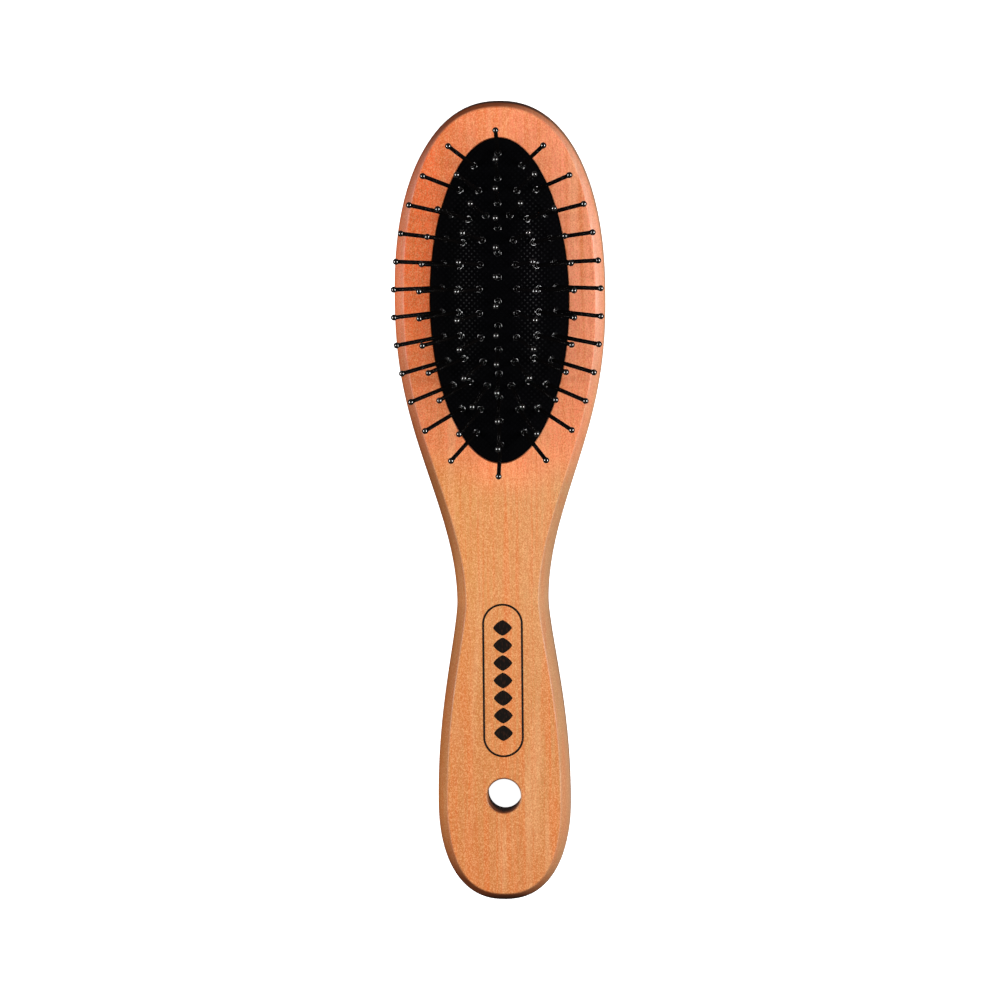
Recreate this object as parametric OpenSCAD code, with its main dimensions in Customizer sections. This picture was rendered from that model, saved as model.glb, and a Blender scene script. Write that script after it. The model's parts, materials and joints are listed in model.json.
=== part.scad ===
// Cushion brush: a one-piece wooden head and handle, an oval domed rubber cushion held
// in a pocket in the front face, and 73 ball-tipped steel pins that stand square to the dome.
// The brush lies on its back. X is across it, Y along it with the head at +Y, Z up the pins.

/* [Wood body] */
// Overall length of the brush
body_len = 213; // [180:1:240]
// Greatest width of the head
head_w = 55.9; // [44:0.1:70]
// Distance from the head end to the widest place
head_nose = 51.5; // [40:0.1:62]
// Distance from the head end to the waist
waist_at = 133.4; // [118:0.1:146]
// Width at the waist
waist_w = 24.2; // [18:0.1:32]
// Greatest width of the handle
handle_w = 35.2; // [28:0.1:42]
// Length of the rounded handle end
handle_nose = 26.7; // [20:0.1:36]
// Thickness from back to front face
body_t = 12.4; // [10:0.1:16]
// Width of the front bevel along the sides
side_bevel = 2.5; // [0.8:0.1:3.5]
// Width it narrows to at the head's tip
head_end_bevel = 1.1; // [0.5:0.1:3]
// The same, at the handle's end
handle_end_bevel = 1.6; // [0.5:0.1:3]
// Steepness of the bevel round the head: its height over its width
head_bevel_rise = 0.76; // [0.4:0.02:2]
// The same, along the handle
handle_bevel_rise = 1.16; // [0.4:0.02:2]
// Radius of the rounded back edge
back_r = 3; // [1:0.1:4]

/* [Hang hole] */
// Diameter of the hole
hole_d = 8.9; // [6:0.1:12]
// Distance from the handle end to its centre
hole_from_end = 28; // [20:0.5:36]
// Easing of both its rims
hole_ease = 0.4; // [0.2:0.1:1]

/* [Pocket] */
// Depth below the front face
pocket_depth = 6; // [4.5:0.1:8]
// Play between the rubber and the wood
pocket_play = 0.1; // [0.05:0.01:0.3]
// Reach of the retaining groove into the wall
groove_reach = 1.5; // [0.8:0.1:2.5]
// Height of the retaining groove
groove_h = 1.6; // [1:0.1:2.2]
// Depth of wall left over the groove
groove_cover = 1.8; // [1.2:0.1:2.6]

/* [Rubber cushion] */
// Width of the cushion
pad_w = 36.5; // [28:0.1:44]
// Length of the cushion
pad_l = 86.4; // [70:0.1:100]
// Rise of the dome above the front face
pad_rise = 10.4; // [6:0.1:13]
// Thickness of the rubber
rubber_t = 1.3; // [1:0.1:2]
// Distance from the head end to its centre
pad_at = 52.6; // [46:0.1:60]

/* [Pins] */
// Diameter of the pin wire
pin_d = 1.1; // [0.8:0.05:1.5]
// Diameter of the ball tip
ball_d = 1.65; // [1.2:0.05:2.4]
// Distance from the rubber to the ball's centre
pin_reach = 18; // [12:0.1:22]
// Diameter of the flat head under the rubber
pin_head_d = 2.2; // [1.6:0.1:2.8]
// Thickness of that head
pin_head_t = 0.5; // [0.3:0.05:0.8]
// Gap between that head and the rubber over it
head_gap = 0.15; // [0.1:0.05:0.5]
// Distance between pins along a column
pin_pitch = 6.45; // [5.5:0.05:7.5]
// The same, along the columns next to the outer ones
mid_pitch = 6.15; // [5.5:0.05:7.5]
// Distance of the pins' middle from the cushion's, towards the head end
pins_up = 0.55; // [0:0.05:2]
// Radial play of a pin in the rubber
pin_play = 0.06; // [0.03:0.01:0.1]
// Diameter of the rubber collar round a pin
collar_d = 2.1; // [1.6:0.1:2.6]
// Height of that collar above the dome
collar_h = 0.35; // [0.1:0.05:0.8]

/* [Hidden] */
$fn = 48;
pad_a = pad_w / 2;
pad_b = pad_l / 2;
pad_y = body_len / 2 - pad_at;
in_a = pad_a - rubber_t;
in_b = pad_b - rubber_t;
in_rise = pad_rise - rubber_t;
dome_sides = 56;
dome_rings = 11;
// half-widths of the staggered columns at the cushion's middle
near_x = 5;
mid_x = 10.6;
far_x = 15.1;
wood = [0.86, 0.58, 0.37];
rubber = [0.05, 0.05, 0.06];
steel = [0.12, 0.12, 0.13];

// ---- outline of the wood: [half width, distance from the head end] ----

// a superellipse end: t runs from 0 at the tip to 90 at full width
function nose(w, l, p, t) = [w * pow(sin(t), 2 / p), l * (1 - pow(cos(t), 2 / p))];
// a smooth run from one half width to the next: s runs from 0 to 1
function run(w0, w1, d0, d1, p, s) =
  [w0 + (w1 - w0) * (1 - cos(180 * pow(s, p))) / 2, d0 + (d1 - d0) * s];

bulb_at = body_len - handle_nose;
stations = concat(
  [for (t = [0:6:90]) nose(head_w / 2, head_nose, 2.25, t)],
  [for (i = [1:14]) run(head_w / 2, waist_w / 2, head_nose, waist_at, 1.2, i / 14)],
  [for (i = [1:10]) run(waist_w / 2, handle_w / 2, waist_at, bulb_at, 0.7, i / 10)],
  [for (t = [83:-7:6]) let (q = nose(handle_w / 2, handle_nose, 2.3, t))
    [q[0], body_len - q[1]]],
  [[0, body_len]]);
last = len(stations) - 1;
// down the left side and back up the right
outline = concat(
  [for (i = [0:last]) [-stations[i][0], body_len / 2 - stations[i][1]]],
  [for (i = [last - 1:-1:1]) [stations[i][0], body_len / 2 - stations[i][1]]]);
count = len(outline);

function outward(i) =
  let (t = outline[(i + 1) % count] - outline[(i + count - 1) % count])
  [t[1], -t[0]] / norm(t);
// how far along from the head's widest place to the neck a point is, eased, from 0 to 1
function along(i) =
  let (far = body_len / 2 - head_nose, s = min(max((far - outline[i][1]) / far, 0), 1))
  (1 - cos(180 * s)) / 2;
function bevel(i) = let (least = head_end_bevel + (handle_end_bevel - head_end_bevel) * along(i))
  least + (side_bevel - least) * pow(outward(i)[0], 8);
function bevel_h(i) =
  bevel(i) * (head_bevel_rise + (handle_bevel_rise - head_bevel_rise) * along(i));
// the outline, dropped by a share of the bevel's height, set in by a length and a share of its width
function ring(z, drop, inset, share) = [for (i = [0:count - 1])
  let (p = outline[i] - (inset + share * bevel(i)) * outward(i))
  [p[0], p[1], z - drop * bevel_h(i)]];

// the section of the edge, from the back up: [height, drop, inset, share of the bevel's width]
edge = concat(
  [for (a = [0:30:90]) [back_r * (1 - cos(a)), 0, back_r * (1 - sin(a)), 0]],
  [for (t = [0, 0.2, 0.5, 1]) [body_t, 1 - t, 0, pow(t, 1.2)]]);

module body_blank() {
  rings = len(edge);
  sides = [for (k = [0:rings - 2], i = [0:count - 1])
    let (a = k * count + i, b = k * count + (i + 1) % count)
    each [[a, a + count, b], [b, a + count, b + count]]];
  // strips across the flat back and front, from the left side to the right
  function strip(i, base) = let (l = base + i, m = base + i + 1,
    r = base + (count - i) % count, s = base + count - i - 1)
    i == 0 ? [[l, m, s]] : i == last - 1 ? [[l, m, r]] : [[l, m, s], [l, s, r]];
  back = [for (i = [0:last - 1]) each strip(i, 0)];
  front = [for (i = [0:last - 1]) each [for (f = strip(i, (rings - 1) * count))
    [f[2], f[1], f[0]]]];
  polyhedron([for (e = edge) each ring(e[0], e[1], e[2], e[3])], concat(sides, back, front));
}

// an upright oval prism centred under the cushion
module oval(a, b, z, h) {
  translate([0, pad_y, z]) scale([a, b, 1]) cylinder(r = 1, h = h);
}

module wood_body() {
  groove_z = body_t - groove_cover - groove_h;
  hole_y = hole_from_end - body_len / 2;
  color(wood) difference() {
    body_blank();
    oval(pad_a + pocket_play, pad_b + pocket_play, body_t - pocket_depth, pocket_depth + 1);
    oval(pad_a + groove_reach, pad_b + groove_reach, groove_z, groove_h);
    translate([0, hole_y, -1]) cylinder(d = hole_d, h = body_t + 2);
    translate([0, hole_y, -hole_ease])
      cylinder(d1 = hole_d + 4 * hole_ease, d2 = hole_d, h = 2 * hole_ease);
    translate([0, hole_y, body_t - hole_ease])
      cylinder(d1 = hole_d, d2 = hole_d + 4 * hole_ease, h = 2 * hole_ease);
  }
}

// ---- cushion ----

// a solid dome on a straight foot: half width, half length, rise over and foot under the front face
module dome(a, b, rise, foot) {
  points = concat(
    [for (t = [0:1:dome_sides - 1]) let (u = 360 * t / dome_sides) [a * cos(u), b * sin(u), -foot]],
    [for (k = [0:dome_rings - 1], t = [0:dome_sides - 1])
      let (r = 1 - k / dome_rings, u = 360 * t / dome_sides)
      [a * r * cos(u), b * r * sin(u), rise * (1 - r * r)]],
    [[0, 0, rise]]);
  walls = [for (k = [0:dome_rings - 1], t = [0:dome_sides - 1])
    let (p = k * dome_sides + t, q = k * dome_sides + (t + 1) % dome_sides)
    each [[p, p + dome_sides, q], [q, p + dome_sides, q + dome_sides]]];
  cap = [for (t = [0:dome_sides - 1]) let (p = dome_rings * dome_sides)
    [p + t, len(points) - 1, p + (t + 1) % dome_sides]];
  translate([0, pad_y, body_t])
    polyhedron(points, concat(walls, cap, [[for (t = [0:dome_sides - 1]) t]]));
}

function rise_at(x, y) = pad_rise * (1 - pow(x / pad_a, 2) - pow(y / pad_b, 2));
function normal_at(x, y) = let (n = [2 * pad_rise * x / pow(pad_a, 2),
  2 * pad_rise * y / pow(pad_b, 2), 1]) n / norm(n);
// thickness of the rubber along the pin at (x, y), where its axis meets the inner dome
function depth_at(x, y) = let (n = normal_at(x, y),
  q = -in_rise * (pow(n[0] / in_a, 2) + pow(n[1] / in_b, 2)),
  l = 2 * in_rise * (x * n[0] / pow(in_a, 2) + y * n[1] / pow(in_b, 2)) + n[2],
  c = in_rise * (1 - pow(x / in_a, 2) - pow(y / in_b, 2)) - rise_at(x, y))
  -2 * c / (l + sqrt(l * l - 4 * q * c));

module on_dome(p) {
  n = normal_at(p[0], p[1]);
  translate([p[0], pad_y + p[1], body_t + rise_at(p[0], p[1])])
    rotate([0, acos(n[2]), atan2(n[1], n[0])]) children();
}

module rubber_cushion() {
  lip_z = body_t - groove_cover - groove_h + pocket_play;
  color(rubber) difference() {
    union() {
      dome(pad_a, pad_b, pad_rise, body_t - lip_z);
      oval(pad_a + groove_reach - pocket_play, pad_b + groove_reach - pocket_play,
        lip_z, groove_h - 2 * pocket_play);
      for (p = all_pins) on_dome(p) translate([0, 0, -0.5])
        cylinder(d1 = collar_d + 0.4, d2 = collar_d - 0.4, h = collar_h + 0.5);
    }
    dome(in_a, in_b, in_rise, body_t - lip_z + 1);
    for (p = all_pins) on_dome(p) translate([0, 0, -3])
      cylinder(d = pin_d + 2 * pin_play, h = 5);
  }
}

// ---- pins ----

// columns narrow towards the ends, as the oval does
function near_at(y) = near_x * sqrt(1 - pow(y / 29.3, 2));
function mid_at(y) = mid_x * sqrt(1 - pow(y / 31.4, 2));
function far_at(y) = far_x * sqrt(1 - pow(y / 39.1, 2));
function both_ways(x, y) = [for (sx = x == 0 ? [1] : [-1, 1], sy = y == 0 ? [1] : [-1, 1])
  [sx * x, sy * y + pins_up]];

// the centre column has a pin every pitch, and the others stand half a pitch between
function centre(i) = both_ways(0, i * pin_pitch);
function near(i) = let (y = (i - 0.5) * pin_pitch)
  both_ways(i < 5 ? near_at(y) : far_at(y) / 2, y);
function mid(i) = let (y = (i - 0.5) * mid_pitch) both_ways(mid_at(y), y);
function far(i) = let (y = (i - 0.5) * pin_pitch) both_ways(far_at(y), y);
all_pins = concat(
  [for (i = [0:6]) each centre(i)], [for (i = [1:5]) each near(i)],
  [for (i = [1:4]) each mid(i)], [for (i = [1:6]) each far(i)]);

module pins(places) {
  color(steel) for (p = places) on_dome(p) {
    top = -depth_at(p[0], p[1]) - head_gap;
    translate([0, 0, top - pin_head_t]) cylinder(d = pin_head_d, h = pin_head_t);
    translate([0, 0, top - pin_head_t / 2]) cylinder(d = pin_d, h = pin_reach - top + pin_head_t / 2);
    translate([0, 0, pin_reach]) sphere(d = ball_d);
  }
}

module pins_centre_0() { pins(centre(0)); }
module pins_centre_1() { pins(centre(1)); }
module pins_centre_2() { pins(centre(2)); }
module pins_centre_3() { pins(centre(3)); }
module pins_centre_4() { pins(centre(4)); }
module pins_centre_5() { pins(centre(5)); }
module pins_centre_6() { pins(centre(6)); }
module pins_near_1() { pins(near(1)); }
module pins_near_2() { pins(near(2)); }
module pins_near_3() { pins(near(3)); }
module pins_near_4() { pins(near(4)); }
module pins_near_5() { pins(near(5)); }
module pins_mid_1() { pins(mid(1)); }
module pins_mid_2() { pins(mid(2)); }
module pins_mid_3() { pins(mid(3)); }
module pins_mid_4() { pins(mid(4)); }
module pins_far_1() { pins(far(1)); }
module pins_far_2() { pins(far(2)); }
module pins_far_3() { pins(far(3)); }
module pins_far_4() { pins(far(4)); }
module pins_far_5() { pins(far(5)); }
module pins_far_6() { pins(far(6)); }

wood_body();
rubber_cushion();
pins_centre_0();
pins_centre_1();
pins_centre_2();
pins_centre_3();
pins_centre_4();
pins_centre_5();
pins_centre_6();
pins_near_1();
pins_near_2();
pins_near_3();
pins_near_4();
pins_near_5();
pins_mid_1();
pins_mid_2();
pins_mid_3();
pins_mid_4();
pins_far_1();
pins_far_2();
pins_far_3();
pins_far_4();
pins_far_5();
pins_far_6();
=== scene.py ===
"""Looks of a cushion brush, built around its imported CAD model.

The brush lies on its back: X is across it, Y along it with the head at +Y, Z up the pins. Metres.
"""

import json
import math

import bpy
import numpy as np
from mathutils import Matrix, Vector
from mathutils.geometry import delaunay_2d_cdt

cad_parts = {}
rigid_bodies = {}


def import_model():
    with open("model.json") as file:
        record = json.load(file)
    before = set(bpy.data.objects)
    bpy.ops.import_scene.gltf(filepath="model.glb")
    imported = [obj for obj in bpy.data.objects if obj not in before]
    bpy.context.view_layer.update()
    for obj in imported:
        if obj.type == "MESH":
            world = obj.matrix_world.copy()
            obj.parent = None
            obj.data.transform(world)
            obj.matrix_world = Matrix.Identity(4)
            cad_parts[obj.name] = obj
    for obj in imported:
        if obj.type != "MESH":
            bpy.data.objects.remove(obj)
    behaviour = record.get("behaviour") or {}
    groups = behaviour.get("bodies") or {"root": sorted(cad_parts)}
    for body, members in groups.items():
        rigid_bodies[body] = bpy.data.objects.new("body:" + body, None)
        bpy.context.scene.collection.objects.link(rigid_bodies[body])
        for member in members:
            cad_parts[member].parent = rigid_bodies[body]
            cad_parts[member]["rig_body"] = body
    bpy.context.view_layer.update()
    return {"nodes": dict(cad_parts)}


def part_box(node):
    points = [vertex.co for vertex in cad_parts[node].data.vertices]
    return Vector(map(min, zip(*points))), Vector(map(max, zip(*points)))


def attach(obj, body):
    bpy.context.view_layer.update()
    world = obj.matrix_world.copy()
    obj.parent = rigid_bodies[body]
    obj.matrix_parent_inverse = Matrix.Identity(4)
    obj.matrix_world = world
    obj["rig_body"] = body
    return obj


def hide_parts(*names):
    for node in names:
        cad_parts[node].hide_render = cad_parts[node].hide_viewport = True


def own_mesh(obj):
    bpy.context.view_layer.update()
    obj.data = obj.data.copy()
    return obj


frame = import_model()
MM = 0.001

# ---- sizes: the driving ones come from the frame's boxes, the others match the CAD design ----

WOOD_LOW, WOOD_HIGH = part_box("wood_body")
LENGTH = WOOD_HIGH.y - WOOD_LOW.y
HEAD_TIP = WOOD_HIGH.y
HEAD_HALF = WOOD_HIGH.x
FACE_Z = WOOD_HIGH.z

HEAD_NOSE = 51.5 * MM
HEAD_ROUND = 2.25  # exponent of the superellipse that ends the head
WAIST_AT = 133.4 * MM
WAIST_HALF = 12.1 * MM
HANDLE_HALF = 17.6 * MM
HANDLE_NOSE = 26.7 * MM
HANDLE_ROUND = 2.3  # the same, at the handle's end
BEVEL_SIDE = 2.5 * MM
BEVEL_END = (1.1 * MM, 1.6 * MM)  # at the head's tip, and at the handle's end
BEVEL_RISE = (0.76, 1.16)  # height over width, round the head and along the handle
BEVEL_CROWN = 1.2  # exponent of the bevel's section, which makes it a little convex
BACK_RADIUS = 3 * MM
ARRIS_REACH = 0.3 * MM  # half the width that the bevel's inner edge is rounded over

HOLE_RADIUS = 4.45 * MM
HOLE_FROM_END = 28 * MM
HOLE_EASE = 0.5 * MM

PAD_A = 18.25 * MM  # half the cushion's width, and half its length
PAD_B = 43.2 * MM
PAD_RISE = 10.4 * MM
PAD_Y = HEAD_TIP - 52.6 * MM
PLAY = 0.1 * MM
GROOVE_REACH = 1.5 * MM
GROOVE_TOP = 1.8 * MM  # depths under the face
GROOVE_BOTTOM = 3.4 * MM
POCKET_DEPTH = 6 * MM
RUBBER = 1.3 * MM

PIN_RADIUS = 0.55 * MM
BALL_RADIUS = 0.825 * MM
PIN_REACH = 18 * MM
PIN_PITCH = 6.45 * MM
MID_PITCH = 6.15 * MM
PINS_UP = 0.55 * MM  # from the cushion's centre to the pattern's, towards the head
NEAR = (5 * MM, 29.3 * MM)  # each column of pins: half width at the middle, and where it would close
MID = (10.6 * MM, 31.4 * MM)
FAR = (15.1 * MM, 39.1 * MM)
NAIL_RADIUS = 1.1 * MM  # the flat head under the rubber
NAIL_HEIGHT = 0.5 * MM
NAIL_GAP = 0.3 * MM  # between the rubber and the flat head


# ---- mesh building ----


class Shell:
    """Collects loops of points and the faces between them."""

    def __init__(self):
        self.points = []
        self.faces = []
        self.sharp = []
        self.second_from = None  # faces from here on take the second material

    def loop(self, points):
        start = len(self.points)
        self.points += [tuple(p) for p in points]
        return list(range(start, len(self.points)))

    def bridge(self, below, above):
        """Quads between two closed loops that run anticlockwise, seen from outside and above."""
        for i in range(len(below)):
            j = (i + 1) % len(below)
            self.faces.append((below[i], below[j], above[j], above[i]))

    def bridge_all(self, loops):
        for below, above in zip(loops, loops[1:]):
            self.bridge(below, above)

    def fan(self, loop, tip):
        for i in range(len(loop)):
            self.faces.append((loop[i], loop[(i + 1) % len(loop)], tip))

    def fill(self, outer, holes=(), up=True):
        """Triangles over the level area inside outer and outside the holes."""
        ids = [i for loop in [outer, *holes] for i in loop]
        flat = [Vector(self.points[i][:2]) for i in ids]
        edges, first = [], 0
        for loop in [outer, *holes]:
            n = len(loop)
            edges += [(first + k, first + (k + 1) % n) for k in range(n)]
            first += n
        points, _, faces, sources, _, _ = delaunay_2d_cdt(flat, edges, [], 1, 1e-9)
        real = [ids[s[0]] for s in sources]
        rings = [np.array([self.points[i][:2] for i in loop]) for loop in holes]
        for face in faces:
            middle = sum((points[i] for i in face), Vector((0, 0))) / len(face)
            if any(inside(middle, ring) for ring in rings):
                continue
            corners = [real[i] for i in face]
            self.faces.append(tuple(corners if up else corners[::-1]))

    def crease(self, loop):
        self.sharp += [frozenset((loop[i], loop[(i + 1) % len(loop)])) for i in range(len(loop))]

    def build(self, name):
        mesh = bpy.data.meshes.new(name)
        mesh.from_pydata(self.points, [], self.faces)
        mesh.shade_smooth()
        if self.sharp:
            sharp = set(self.sharp)
            for edge in mesh.edges:
                edge.use_edge_sharp = frozenset(edge.vertices) in sharp
        if self.second_from is not None:
            slots = np.zeros(len(mesh.polygons), dtype=np.int32)
            slots[self.second_from:] = 1
            mesh.polygons.foreach_set("material_index", slots)
        mesh.validate()
        piece = bpy.data.objects.new(name, mesh)
        bpy.context.scene.collection.objects.link(piece)
        return piece


def inside(point, ring):
    """Whether a closed ring of corners goes round the point."""
    x0, y0 = ring.T
    x1, y1 = np.roll(ring, -1, axis=0).T
    spans = (y0 > point.y) != (y1 > point.y)
    reach = x0 + (point.y - y0) / np.where(y1 == y0, 1, y1 - y0) * (x1 - x0)
    return int(np.count_nonzero(spans & (point.x < reach))) % 2 == 1


def oval(a, b, z):
    """An ellipse round the cushion's centre."""
    angles = np.linspace(0, 2 * math.pi, 256, endpoint=False)
    return [(a * math.cos(t), PAD_Y + b * math.sin(t), z) for t in angles]


def circle(radius, centre_y, z):
    angles = np.linspace(0, 2 * math.pi, 96, endpoint=False)
    return [(radius * math.cos(t), centre_y + radius * math.sin(t), z) for t in angles]


# ---- wood ----


def half_width(distance):
    """Half the wood's width at a distance from the head's tip."""
    bulb_at = LENGTH - HANDLE_NOSE
    if distance <= HEAD_NOSE:
        share = 1 - distance / HEAD_NOSE
        return HEAD_HALF * max(0, 1 - share**HEAD_ROUND) ** (1 / HEAD_ROUND)
    if distance <= WAIST_AT:
        share = (distance - HEAD_NOSE) / (WAIST_AT - HEAD_NOSE)
        return HEAD_HALF + (WAIST_HALF - HEAD_HALF) * (1 - math.cos(math.pi * share**1.2)) / 2
    if distance <= bulb_at:
        share = (distance - WAIST_AT) / (bulb_at - WAIST_AT)
        return WAIST_HALF + (HANDLE_HALF - WAIST_HALF) * (1 - math.cos(math.pi * share**0.7)) / 2
    share = (distance - bulb_at) / HANDLE_NOSE
    return HANDLE_HALF * max(0, 1 - share**HANDLE_ROUND) ** (1 / HANDLE_ROUND)


def wood_outline():
    """The outline's points and outward normals, anticlockwise from the head's tip."""
    turn = np.radians(np.linspace(0, 90, 64))
    head = HEAD_NOSE * (1 - np.cos(turn) ** (2 / HEAD_ROUND))
    middle = np.linspace(HEAD_NOSE, LENGTH - HANDLE_NOSE, 110)[1:-1]
    turn = np.radians(np.linspace(0, 90, 56))
    end = LENGTH - HANDLE_NOSE * (1 - np.sin(turn) ** (2 / HANDLE_ROUND))
    distances = [*head, *middle, *end]
    left = [(-half_width(d), HEAD_TIP - d) for d in distances]
    right = [(-x, y) for x, y in left[-2:0:-1]]
    points = np.array(left + right)
    along = np.roll(points, -1, axis=0) - np.roll(points, 1, axis=0)
    normals = np.stack([along[:, 1], -along[:, 0]], 1)
    return points, normals / np.linalg.norm(normals, axis=1)[:, None]


def edge_section(width, rise):
    """The wood's edge from the back up: pairs of (height, inset), given the bevel's size."""
    section = []
    for t in np.radians(np.linspace(0, 90, 9)):
        section.append((BACK_RADIUS * (1 - math.cos(t)), BACK_RADIUS * (1 - math.sin(t))))
    foot = FACE_Z - rise
    section += [(BACK_RADIUS + (foot - BACK_RADIUS) * t, 0) for t in np.linspace(0.1, 0.9, 4)]
    section += [(foot + rise * t, width * t**BEVEL_CROWN) for t in (0, 0.1, 0.2, 0.35, 0.5, 0.65)]
    slope = rise / (BEVEL_CROWN * width)
    for t in np.linspace(0, 1, 5):
        drop = ARRIS_REACH * slope * (1 - t) ** 2
        section.append((FACE_Z - drop, width + ARRIS_REACH * (2 * t - 1)))
    return section


def wood_edge(shell):
    """Loops round the wood, from the back's edge up to the face's."""
    points, normals = wood_outline()
    # 0 round the end of the head, easing to 1 at the neck and along the handle
    widest = HEAD_TIP - HEAD_NOSE
    down = (1 - np.cos(math.pi * np.clip((widest - points[:, 1]) / widest, 0, 1))) / 2
    least = BEVEL_END[0] + (BEVEL_END[1] - BEVEL_END[0]) * down
    widths = least + (BEVEL_SIDE - least) * normals[:, 0] ** 8
    rises = widths * (BEVEL_RISE[0] + (BEVEL_RISE[1] - BEVEL_RISE[0]) * down)
    sections = np.array([edge_section(w, r) for w, r in zip(widths, rises)])
    rings = []
    for level in range(sections.shape[1]):
        flat = points - normals * sections[:, level, 1:]
        rings.append(shell.loop([(x, y, z) for (x, y), z in zip(flat, sections[:, level, 0])]))
    return rings


def hang_hole(shell):
    """Loops down through the hang hole, which is eased at the face and at the back."""
    centre = WOOD_LOW.y + HOLE_FROM_END
    ease = [(HOLE_RADIUS + HOLE_EASE * (1 - math.sin(t)), HOLE_EASE * (1 - math.cos(t)))
            for t in np.radians(np.linspace(0, 90, 6))]
    top = [shell.loop(circle(radius, centre, FACE_Z - depth)) for radius, depth in ease]
    return top + [shell.loop(circle(radius, centre, depth)) for radius, depth in ease[::-1]]


def cushion_pocket(shell):
    """Loops down the pocket's wall, over its eased edge and through the groove that holds the rubber."""
    wall = ((0.3 * MM, 0), (0.12 * MM, 0.08 * MM), (0, 0.3 * MM), (0, GROOVE_TOP),
            (GROOVE_REACH, GROOVE_TOP), (GROOVE_REACH, GROOVE_BOTTOM), (0, GROOVE_BOTTOM),
            (0, POCKET_DEPTH))
    return [shell.loop(oval(PAD_A + PLAY + out, PAD_B + PLAY + out, FACE_Z - depth)) for out, depth in wall]


def make_wood():
    shell = Shell()
    edge, hole, pocket = wood_edge(shell), hang_hole(shell), cushion_pocket(shell)
    for loops in (edge, hole, pocket):
        shell.bridge_all(loops)
    shell.fill(pocket[-1])
    shell.fill(edge[-1], [pocket[0], hole[0]])
    shell.fill(edge[0], [hole[-1]], up=False)
    for loop in (edge[-1], edge[0], pocket[0], hole[0], hole[-1], *pocket[3:]):
        shell.crease(loop)
    return shell.build("wooden_body")


# ---- the dome, and where the pins stand on it ----


def dome(x, y):
    return PAD_RISE * (1 - (x / PAD_A) ** 2 - (y / PAD_B) ** 2)


def dome_normal(x, y):
    return Vector((2 * PAD_RISE * x / PAD_A**2, 2 * PAD_RISE * y / PAD_B**2, 1)).normalized()


def pin_places():
    """The places of each CAD node's pins on the cushion, from its centre."""

    def mirrored(x, y):
        return [(sx * x, sy * y + PINS_UP)
                for sx in ((-1, 1) if x else (1,)) for sy in ((-1, 1) if y else (1,))]

    def column(half_and_reach, y):
        half, reach = half_and_reach
        return half * math.sqrt(1 - (y / reach) ** 2)

    places = {f"pins_centre_{i}": mirrored(0, i * PIN_PITCH) for i in range(7)}
    for i in range(1, 7):
        y = (i - 0.5) * PIN_PITCH
        far = column(FAR, y)
        places[f"pins_far_{i}"] = mirrored(far, y)
        if i < 5:
            places[f"pins_near_{i}"] = mirrored(column(NEAR, y), y)
            y = (i - 0.5) * MID_PITCH
            places[f"pins_mid_{i}"] = mirrored(column(MID, y), y)
        if i == 5:
            places[f"pins_near_{i}"] = mirrored(far / 2, y)
    return places


PLACES = pin_places()


def on_dome(x, y):
    """A transform that stands a thing made along +Z square on the dome."""
    foot = Vector((x, PAD_Y + y, FACE_Z + dome(x, y)))
    turn = Vector((0, 0, 1)).rotation_difference(dome_normal(x, y)).to_matrix().to_4x4()
    return Matrix.Translation(foot) @ turn


def lathe(shell, place, profile, sides):
    """Turns a profile of (radius, height) round a local +Z, from its foot up."""
    loops = []
    for radius, height in profile:
        if radius < 1e-7:
            loops.append(shell.loop([place @ Vector((0, 0, height))]))
            continue
        angles = np.linspace(0, 2 * math.pi, sides, endpoint=False)
        ring = [Vector((radius * math.cos(t), radius * math.sin(t), height)) for t in angles]
        loops.append(shell.loop([place @ point for point in ring]))
    for below, above in zip(loops, loops[1:]):
        if len(below) == 1:
            shell.fan(above[::-1], below[0])
        elif len(above) == 1:
            shell.fan(below, above[0])
        else:
            shell.bridge(below, above)
    return loops


# ---- rubber ----

LATTICE = 0.77 * MM  # rows of raised dots, staggered by as much from one to the next
DOT_HEIGHT = 0.06 * MM
CELL = LATTICE / 4
BAND = 0.93  # the dots end at this share of the oval, and a smooth band runs from there to the rim


def dots(x, y, share):
    """Height of the dotted texture at points on the cushion."""
    wave = np.cos(math.pi * x / LATTICE) * np.cos(math.pi * y / LATTICE)
    fade = np.clip((BAND - 0.005 - share) / 0.02, 0, 1)
    return DOT_HEIGHT * ((1 + wave) / 2) ** 2.5 * fade


def collar_profile():
    """A rounded ring of rubber round a pin, closed under the surface."""
    crest, width, height = 0.84 * MM, 0.2 * MM, 0.16 * MM
    bore, sunk = PIN_RADIUS - 0.02 * MM, -0.4 * MM
    foot = (bore, sunk)
    skirt = [(1.1 * MM, sunk), (1.12 * MM, 0.04 * MM)]
    bead = [(crest + width * math.cos(t), height + width * math.sin(t))
            for t in np.radians(np.linspace(-20, 200, 12))]
    return [foot, *skirt, *bead, (bore, height * 0.2), foot]


def boundary(faces):
    """The one loop of edges round a patch of quads, anticlockwise."""
    follows, seen = {}, set()
    for face in faces:
        for k, corner in enumerate(face):
            seen.add((corner, face[(k + 1) % len(face)]))
    for start, end in seen:
        if (end, start) not in seen:
            follows[start] = end
    first = next(iter(follows))
    loop, here = [first], follows[first]
    while here != first:
        loop.append(here)
        here = follows[here]
    return loop


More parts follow.
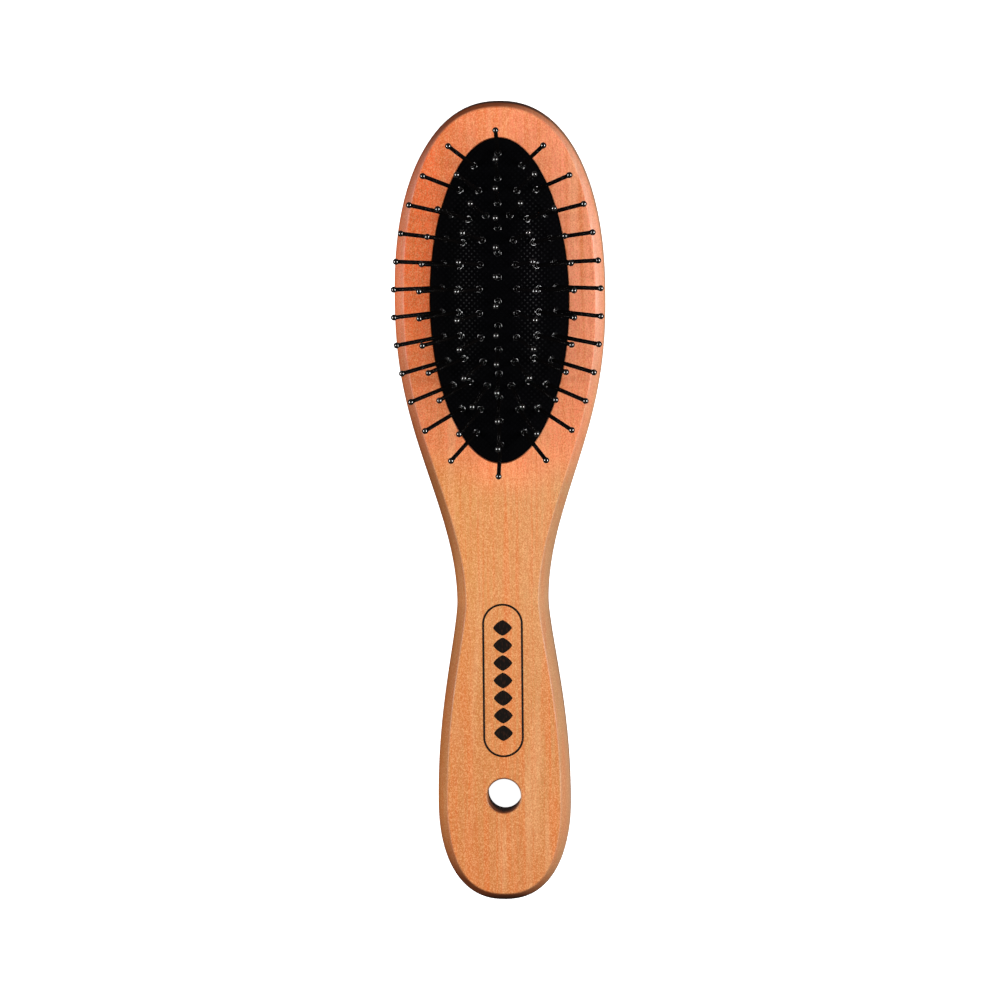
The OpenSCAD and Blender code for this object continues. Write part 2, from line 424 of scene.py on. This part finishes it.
def dotted_patch(shell):
    """The dotted part of the dome, as a grid of quads. Gives the ragged loop round it."""
    across = int(BAND * PAD_A / CELL) + 1
    along = int(BAND * PAD_B / CELL) + 1
    i, j = np.meshgrid(np.arange(-across, across + 1), np.arange(-along, along + 1))
    x, y = i * CELL, j * CELL
    share = np.hypot(x / PAD_A, y / PAD_B)
    kept = share < BAND
    gradient = np.stack([2 * PAD_RISE * x / PAD_A**2, 2 * PAD_RISE * y / PAD_B**2, np.ones_like(x)])
    gradient /= np.linalg.norm(gradient, axis=0)
    spots = np.stack([x, PAD_Y + y, FACE_Z + dome(x, y)]) + dots(x, y, share) * gradient
    number = np.full(x.shape, -1)
    number[kept] = shell.loop(spots[:, kept].T.tolist())
    a, b, c, d = number[:-1, :-1], number[:-1, 1:], number[1:, 1:], number[1:, :-1]
    whole = (a >= 0) & (b >= 0) & (c >= 0) & (d >= 0)
    quads = np.stack([a[whole], b[whole], c[whole], d[whole]], 1).tolist()
    shell.faces += quads
    return boundary(quads)


def dome_ring(share):
    """An oval on the dome, at a share of the way from the crown out to the rim."""
    return [(x, y, FACE_Z + dome(x, y - PAD_Y)) for x, y, _ in oval(PAD_A * share, PAD_B * share, 0)]


def underside(shell):
    """Loops over the hollow under the dome, from the skirt up, and the point that closes them."""
    loops = []
    for share in np.linspace(1, 0.05, 16):
        z = FACE_Z + (PAD_RISE - RUBBER) * (1 - share * share)
        loops.append(shell.loop(oval((PAD_A - RUBBER) * share, (PAD_B - RUBBER) * share, z)))
    return loops, shell.loop([(0, PAD_Y, FACE_Z + PAD_RISE - RUBBER)])[0]


def make_rubber():
    shell = Shell()
    patch = dotted_patch(shell)
    band = shell.loop(dome_ring(BAND + 0.012))
    shell.fill(band, [patch])
    rim = [shell.loop(dome_ring(share)) for share in (1.0, 0.995, 0.985, 0.97, 0.955)]
    foot = FACE_Z - GROOVE_BOTTOM + PLAY
    lip = FACE_Z - GROOVE_TOP - PLAY
    reach = GROOVE_REACH - PLAY
    sides = [shell.loop(oval(PAD_A + out, PAD_B + out, z))
             for out, z in ((-RUBBER, foot), (reach, foot), (reach, lip), (0, lip))]
    shell.bridge_all([*sides, *rim, band])
    under, crown = underside(shell)
    shell.bridge_all([*under[::-1], sides[0]])
    shell.fan(under[-1][::-1], crown)
    shell.second_from = len(shell.faces)
    for places in PLACES.values():
        for x, y in places:
            lathe(shell, on_dome(x, y), collar_profile(), 28)
    return shell.build("cushion")


# ---- pins ----


def pin_profile():
    """Radius and height along a pin: flat head, wire, and a ball with a soft neck."""
    top = -RUBBER - NAIL_GAP
    foot = top - NAIL_HEIGHT
    nail = [(0, foot), (NAIL_RADIUS, foot), (NAIL_RADIUS, top), (PIN_RADIUS, top)]
    neck = BALL_RADIUS * 1.45
    wire = [(PIN_RADIUS, PIN_REACH - neck * 1.35), (PIN_RADIUS * 1.02, PIN_REACH - neck)]
    ball = [(BALL_RADIUS * math.cos(t), PIN_REACH + BALL_RADIUS * math.sin(t))
            for t in np.radians(np.linspace(-38, 88, 13))]
    return nail + wire + ball + [(0, PIN_REACH + BALL_RADIUS)]


def make_pins(node, places):
    shell = Shell()
    for x, y in places:
        loops = lathe(shell, on_dome(x, y), pin_profile(), 24)
        for loop in loops[1:4]:
            shell.crease(loop)
    return shell.build(node.replace("pins", "wires"))


# ---- printed mark: a plain capsule round a row of lozenges ----

MARK_AT = 154.1 * MM  # from the head's tip to its middle
INK_LOW, INK_HIGH = FACE_Z - 0.03 * MM, FACE_Z + 0.03 * MM


def outline_ribbon(shell, path, width):
    """A printed line of one width along a closed flat path."""
    path = np.array(path)
    along = np.roll(path, -1, axis=0) - np.roll(path, 1, axis=0)
    along /= np.linalg.norm(along, axis=1)[:, None]
    side = np.stack([along[:, 1], -along[:, 0]], 1) * width / 2
    edges = ((path - side, INK_LOW), (path - side, INK_HIGH), (path + side, INK_HIGH), (path + side, INK_LOW))
    rows = [shell.loop([(x, y, z) for x, y in edge]) for edge, z in edges]
    for k in range(len(path)):
        n = (k + 1) % len(path)
        for one, two in zip(rows, rows[1:] + rows[:1]):
            shell.faces.append((one[k], one[n], two[n], two[k]))


def make_mark():
    shell = Shell()
    middle = HEAD_TIP - MARK_AT
    half, straight = 5.15 * MM, 15.15 * MM
    turn = np.radians(np.linspace(0, 180, 32))
    top = [(half * math.cos(t), middle + straight + half * math.sin(t)) for t in turn]
    bottom = [(-x, 2 * middle - y) for x, y in top]
    outline_ribbon(shell, top + bottom, 0.54 * MM)
    across, along, pitch = 2.5 * MM, 2.1 * MM, 4.7 * MM
    turn = np.linspace(0, 2 * math.pi, 48, endpoint=False)
    xs = across * np.sign(np.cos(turn)) * abs(np.cos(turn)) ** 1.5
    ys = along * np.sign(np.sin(turn)) * abs(np.sin(turn)) ** 1.5
    for row in range(-3, 4):
        centre = middle + row * pitch
        rings = [shell.loop([(x, centre + y, z) for x, y in zip(xs, ys)]) for z in (INK_LOW, INK_HIGH)]
        shell.bridge(*rings)
        shell.faces += [tuple(rings[1]), tuple(rings[0][::-1])]
        shell.crease(rings[1])
    return shell.build("printed_mark")


# ---- materials ----


class Nodes:
    """A material's node tree around one Principled shader."""

    def __init__(self, name):
        self.material = bpy.data.materials.new(name)
        self.material.use_nodes = True
        self.tree = self.material.node_tree
        self.shader = self.tree.nodes["Principled BSDF"]
        coordinates = self.add("ShaderNodeTexCoord")
        self.place = coordinates.outputs["Object"]
        self.facing = coordinates.outputs["Normal"]

    def add(self, kind, inputs=None, **settings):
        node = self.tree.nodes.new(kind)
        for key, value in settings.items():
            setattr(node, key, value)
        for key, value in (inputs or {}).items():
            self.feed(node.inputs[key], value)
        return node

    def feed(self, socket, value):
        if isinstance(value, bpy.types.NodeSocket):
            self.tree.links.new(value, socket)
        else:
            socket.default_value = value

    def shader_values(self, **values):
        for key, value in values.items():
            self.feed(self.shader.inputs[key.replace("_", " ")], value)

    def split(self, vector):
        return self.add("ShaderNodeSeparateXYZ", {0: vector}).outputs

    def stretched(self, scale, offset=(0, 0, 0)):
        return self.add("ShaderNodeMapping", {"Vector": self.place, "Scale": scale,
                                              "Location": offset}).outputs[0]

    def noise(self, scale, detail=3, roughness=0.5, offset=(0, 0, 0), distortion=0):
        node = self.add("ShaderNodeTexNoise", {
            "Vector": self.stretched(scale, offset), "Scale": 1, "Detail": detail,
            "Roughness": roughness, "Distortion": distortion})
        return node.outputs["Fac"]

    def remap(self, value, low, high, to_low=0, to_high=1):
        return self.add("ShaderNodeMapRange", {
            "Value": value, "From Min": low, "From Max": high, "To Min": to_low,
            "To Max": to_high}, interpolation_type="SMOOTHSTEP").outputs[0]

    def math(self, operation, a, b):
        return self.add("ShaderNodeMath", {0: a, 1: b}, operation=operation).outputs[0]

    def mix(self, share, a, b, blend="MIX"):
        node = self.add("ShaderNodeMix", data_type="RGBA", blend_type=blend)
        for socket, value in zip((node.inputs[0], node.inputs[6], node.inputs[7]), (share, a, b)):
            self.feed(socket, value)
        return node.outputs[2]

    def bump(self, height, strength, distance, under=None):
        inputs = {"Height": height, "Strength": strength, "Distance": distance}
        if under is not None:
            inputs["Normal"] = under
        return self.add("ShaderNodeBump", inputs).outputs[0]


def rgb(red, green, blue):
    """A colour from 8-bit sRGB numbers, as the shader's linear one."""
    linear = [c / 12.92 if c <= 0.04045 else ((c + 0.055) / 1.055) ** 2.4
              for c in (red / 255, green / 255, blue / 255)]
    return (*linear, 1)


# the wood's figure, laid over its ground colour in this order. Each layer has its noise (scale,
# detail, roughness, offset, distortion), the noise values it fades in between, its strength and colour
WOOD_FIGURE = {
    "cloud": (((170, 60, 170), 3, 0.55, (2, 3, 1)), (0.35, 0.65), 0.12, (217, 112, 50)),
    "streak": (((380, 14, 380), 4, 0.6, (7, 0, 2), 0.5), (0.5, 0.68), 0.45, (222, 107, 42)),
    "pale": (((300, 18, 300), 3, 0.5, (1, 5, 9)), (0.52, 0.7), 0.38, (228, 173, 124)),
    "line": (((900, 12, 900), 3, 0.6, (5, 2, 8)), (0.47, 0.63), 0.45, (212, 105, 42)),
    "fibre": (((2600, 260, 2600), 2, 0.6, (3, 1, 7)), (0.5, 0.66), 0.3, (190, 96, 44)),
    "fleck": (((4300, 3000, 4300), 1, 0.5), (0.38, 0.7), 0.5, (184, 88, 34)),
    "spark": (((4000, 2800, 4000), 1, 0.5, (4, 4, 4)), (0.42, 0.75), 0.5, (255, 191, 134)),
}


def wood_ground(n, x, y, drift):
    """The broad colours: orange on the head, tan on the handle, and all of it paler to the right, with
    painted light beside the cushion and painted shade towards the handle's end. Also gives the bevel's colour
    of painted shade.
    """
    right = n.remap(n.math("ADD", x, n.math("MULTIPLY", drift, 0.012)), -0.012, 0.024)
    along = n.math("ADD", y, n.math("MULTIPLY", drift, 0.03))

    def sided(left_colour, right_colour):
        return n.mix(right, rgb(*left_colour), rgb(*right_colour))

    # painted light: beside the cushion the head is painted brighter, making up for the light that the cushion
    # and its pins shade from it
    aside = n.remap(n.math("ABSOLUTE", x, 0), 0.013, 0.02)
    painted_light_beside_pad = n.math("MULTIPLY", aside, n.remap(y, 0.03, 0.06))
    head = n.mix(painted_light_beside_pad, sided((228, 109, 62), (236, 138, 102)), sided((255, 107, 52), (255, 153, 118)))
    near_neck = n.remap(along, -0.045, -0.005)
    handle = n.mix(near_neck, sided((194, 127, 68), (191, 137, 81)), sided((206, 142, 79), (203, 149, 97)))
    # painted shade: the handle is painted darker and redder towards its end, where the lamps' light falls off
    handle = n.mix(n.remap(y, -0.1, -0.07, 0.35, 0), handle, rgb(198, 108, 50))
    colour = n.mix(n.remap(along, 0.022, 0.046), handle, head)
    rosy = n.math("MINIMUM", n.remap(along, 0.015, 0.027, 0, 0.8), n.remap(along, 0.036, 0.05, 0.8, 0))
    colour = n.mix(rosy, colour, sided((250, 135, 90), (254, 143, 102)))
    # and the colour of the painted shade on the bevel, darker on the left
    return colour, sided((162, 93, 37), (176, 139, 106))


def wood_material():
    n = Nodes("oiled_beech")
    x, y, _ = n.split(n.place)
    _, facing, up = n.split(n.facing)
    drift = n.noise((40, 14, 40), 2)
    colour, bevel_shade_colour = wood_ground(n, x, y, drift)
    layers = {}
    for name, (noise, (low, high), strength, shade) in WOOD_FIGURE.items():
        layers[name] = n.remap(n.noise(*noise), low, high)
        colour = n.mix(n.math("MULTIPLY", layers[name], strength), colour, rgb(*shade))
    # painted shade: the bevel is painted darker the steeper it stands, and darker on the left than on the
    # right; it is also cut across the fibres, and looks duller
    bevel = n.math("MAXIMUM", n.remap(up, 0.52, 0.85, 0.75, 0), n.remap(up, 0.86, 0.95, 0.3, 0))
    colour = n.mix(bevel, colour, bevel_shade_colour)
    # the ends of the wood are painted darker: partly the end grain's own deeper colour, partly painted shade
    # where the side lamps barely reach the ends, and more of it towards the left
    end_grain_and_shade = n.math("ADD", n.math("MULTIPLY", drift, 0.5), 1.2)
    end_grain_and_shade = n.math("SUBTRACT", end_grain_and_shade, n.math("MULTIPLY", x, 55))
    end = n.math("MINIMUM", n.math("MULTIPLY", n.math("ABSOLUTE", facing, 0), end_grain_and_shade), 0.9)
    colour = n.mix(end, colour, rgb(92, 38, 14))
    # painted shade: the bevel is painted darkest at the very end of the handle, where it turns steeply away
    # from the lamps
    butt_shade = n.math("MULTIPLY", n.remap(y, -0.1063, -0.1044, 0.85, 0), n.remap(up, 0.1, 0.4))
    colour = n.mix(butt_shade, colour, rgb(26, 10, 2))
    pores = n.bump(layers["fleck"], 0.3, 0.03 * MM)
    grain = n.bump(n.noise((1500, 60, 1500), 3), 0.2, 0.04 * MM, pores)
    sheen = n.remap(n.noise((900, 120, 900), 3), 0.3, 0.7, 0.38, 0.52)
    n.shader_values(Base_Color=colour, Roughness=sheen, Normal=grain, Specular_IOR_Level=0.4)
    return n.material


def rubber_material(name, smooth, rough, gloss, coat):
    """Black rubber, smoother on the tops of its dots than between them."""
    n = Nodes(name)
    x, y, _ = n.split(n.place)

    def wave(side, middle):
        return n.math("COSINE", n.math("MULTIPLY", n.math("SUBTRACT", side, middle), math.pi / LATTICE), 0)

    top = n.remap(n.math("MULTIPLY", wave(x, 0), wave(y, PAD_Y)), 0.3, 0.85)
    tone = n.math("MULTIPLY", n.noise((160, 160, 160), 3), n.math("ADD", top, 0.3))
    grit = n.remap(n.noise((500, 500, 500), 2), 0.3, 0.7, -0.05, 0.05)
    n.shader_values(
        Base_Color=n.mix(tone, rgb(1, 1, 2), rgb(9, 9, 11)),
        Roughness=n.math("ADD", grit, n.remap(top, 0, 1, rough, smooth)),
        Normal=n.bump(n.noise((6000, 6000, 6000), 2), 0.15, 0.02 * MM),
        Specular_IOR_Level=gloss, Coat_Weight=coat, Coat_Roughness=0.12, Coat_IOR=1.75)
    return n.material


def pin_material():
    n = Nodes("black_enamel")
    tone = n.noise((300, 300, 300), 2)
    n.shader_values(
        Base_Color=n.mix(tone, rgb(7, 6, 6), rgb(16, 13, 12)),
        Roughness=n.remap(n.noise((900, 900, 900), 2), 0.3, 0.7, 0.1, 0.2),
        Normal=n.bump(n.noise((2500, 2500, 2500), 2), 0.05, 0.02 * MM),
        Specular_IOR_Level=0.2, Coat_Weight=1.0, Coat_Roughness=0.06, Coat_IOR=2.0)
    return n.material


def ink_material():
    n = Nodes("dark_ink")
    worn = n.remap(n.noise((2600, 900, 2600), 2, 0.6), 0.5, 0.75)
    n.shader_values(
        Base_Color=n.mix(worn, rgb(13, 7, 4), rgb(44, 22, 11)),
        Roughness=n.remap(worn, 0, 1, 0.6, 0.75), Specular_IOR_Level=0.12)
    return n.material


def floor_material():
    n = Nodes("white_floor")
    tone = n.noise((3, 3, 3), 2)
    n.shader_values(
        Base_Color=n.mix(tone, (0.93, 0.93, 0.93, 1), (0.95, 0.95, 0.95, 1)),
        Roughness=0.9, Emission_Color=(1, 1, 1, 1), Emission_Strength=1.0)
    return n.material


# ---- assembly ----


def add_pieces():
    wood = make_wood()
    cushion = make_rubber()
    mark = make_mark()
    rubber = rubber_material("black_rubber", smooth=0.24, rough=0.92, gloss=0.026, coat=0.0)
    collars = rubber_material("black_rubber_collars", smooth=0.15, rough=0.17, gloss=0.7, coat=0.55)
    for piece, slot, *materials in (
            (wood, "wood", wood_material()), (mark, "wood", ink_material()),
            (cushion, "rubber", rubber, collars)):
        for material in materials:
            piece.data.materials.append(material)
        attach(piece, "body")
    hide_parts("wood_body")
    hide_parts("rubber_cushion")
    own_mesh(cushion)
    wood.visible_glossy = False  # the ball tips reflect black
    enamel = pin_material()
    for node, places in PLACES.items():
        wires = make_pins(node, places)
        wires.data.materials.append(enamel)
        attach(wires, frame["nodes"][node]["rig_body"])
        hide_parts(node)


def add_floor():
    mesh = bpy.data.meshes.new("floor")
    half = 3
    corners = [(-half, -half, 0), (half, -half, 0), (half, half, 0), (-half, half, 0)]
    mesh.from_pydata(corners, [], [(0, 1, 2, 3)])
    floor = bpy.data.objects.new("floor", mesh)
    bpy.context.scene.collection.objects.link(floor)
    floor.location.z = -0.1 * MM
    # it is a plain white ground, and doesn't light the brush or show in it
    floor.visible_diffuse = False
    floor.visible_glossy = False
    mesh.materials.append(floor_material())


def add_light(name, place, size, power):
    """A rectangular light aimed at the pins."""
    data = bpy.data.lights.new(name, "AREA")
    data.shape = "RECTANGLE"
    data.size, data.size_y = size
    data.energy = power
    light = bpy.data.objects.new(name, data)
    light.location = place
    light.rotation_euler = (Vector((0, 0, 0.02)) - Vector(place)).to_track_quat("-Z", "Y").to_euler()
    bpy.context.scene.collection.objects.link(light)


def add_lights():
    add_light("left_softbox", (-0.76, 0.06, 0.56), (0.6, 0.26), 8.4)
    add_light("right_softbox", (0.76, 0.06, 0.56), (0.6, 0.26), 10.8)
    world = bpy.data.worlds.new("studio")
    world.use_nodes = True
    world.node_tree.nodes["Background"].inputs["Color"].default_value = (1, 0.99, 0.97, 1)
    world.node_tree.nodes["Background"].inputs["Strength"].default_value = 0.06
    bpy.context.scene.world = world
    bpy.context.scene.view_settings.view_transform = "Standard"


def add_camera():
    """Far above the brush's middle, leaning a little towards the head and the right."""
    distance, view = 3.3, 0.266
    lean_y, lean_x, roll = math.radians(5.3), math.radians(2), math.radians(0.35)
    target = Vector((-0.35 * MM, 0.7 * MM, FACE_Z))
    away = Vector((math.sin(lean_x), math.sin(lean_y), 1))
    away.z = math.sqrt(1 - away.x**2 - away.y**2)
    data = bpy.data.cameras.new("camera")
    data.sensor_width = 36
    data.lens = data.sensor_width * distance / view
    data.clip_end = 10
    camera = bpy.data.objects.new("camera", data)
    right = (Vector((1, 0, 0)) - away * away.x).normalized()
    up = away.cross(right)
    right, up = (right * math.cos(roll) - up * math.sin(roll),
                 up * math.cos(roll) + right * math.sin(roll))
    turn = Matrix((right, up, away)).transposed().to_4x4()
    camera.matrix_world = Matrix.Translation(target + away * distance) @ turn
    bpy.context.scene.collection.objects.link(camera)
    bpy.context.scene.camera = camera


add_camera()
add_lights()
add_floor()
add_pieces()
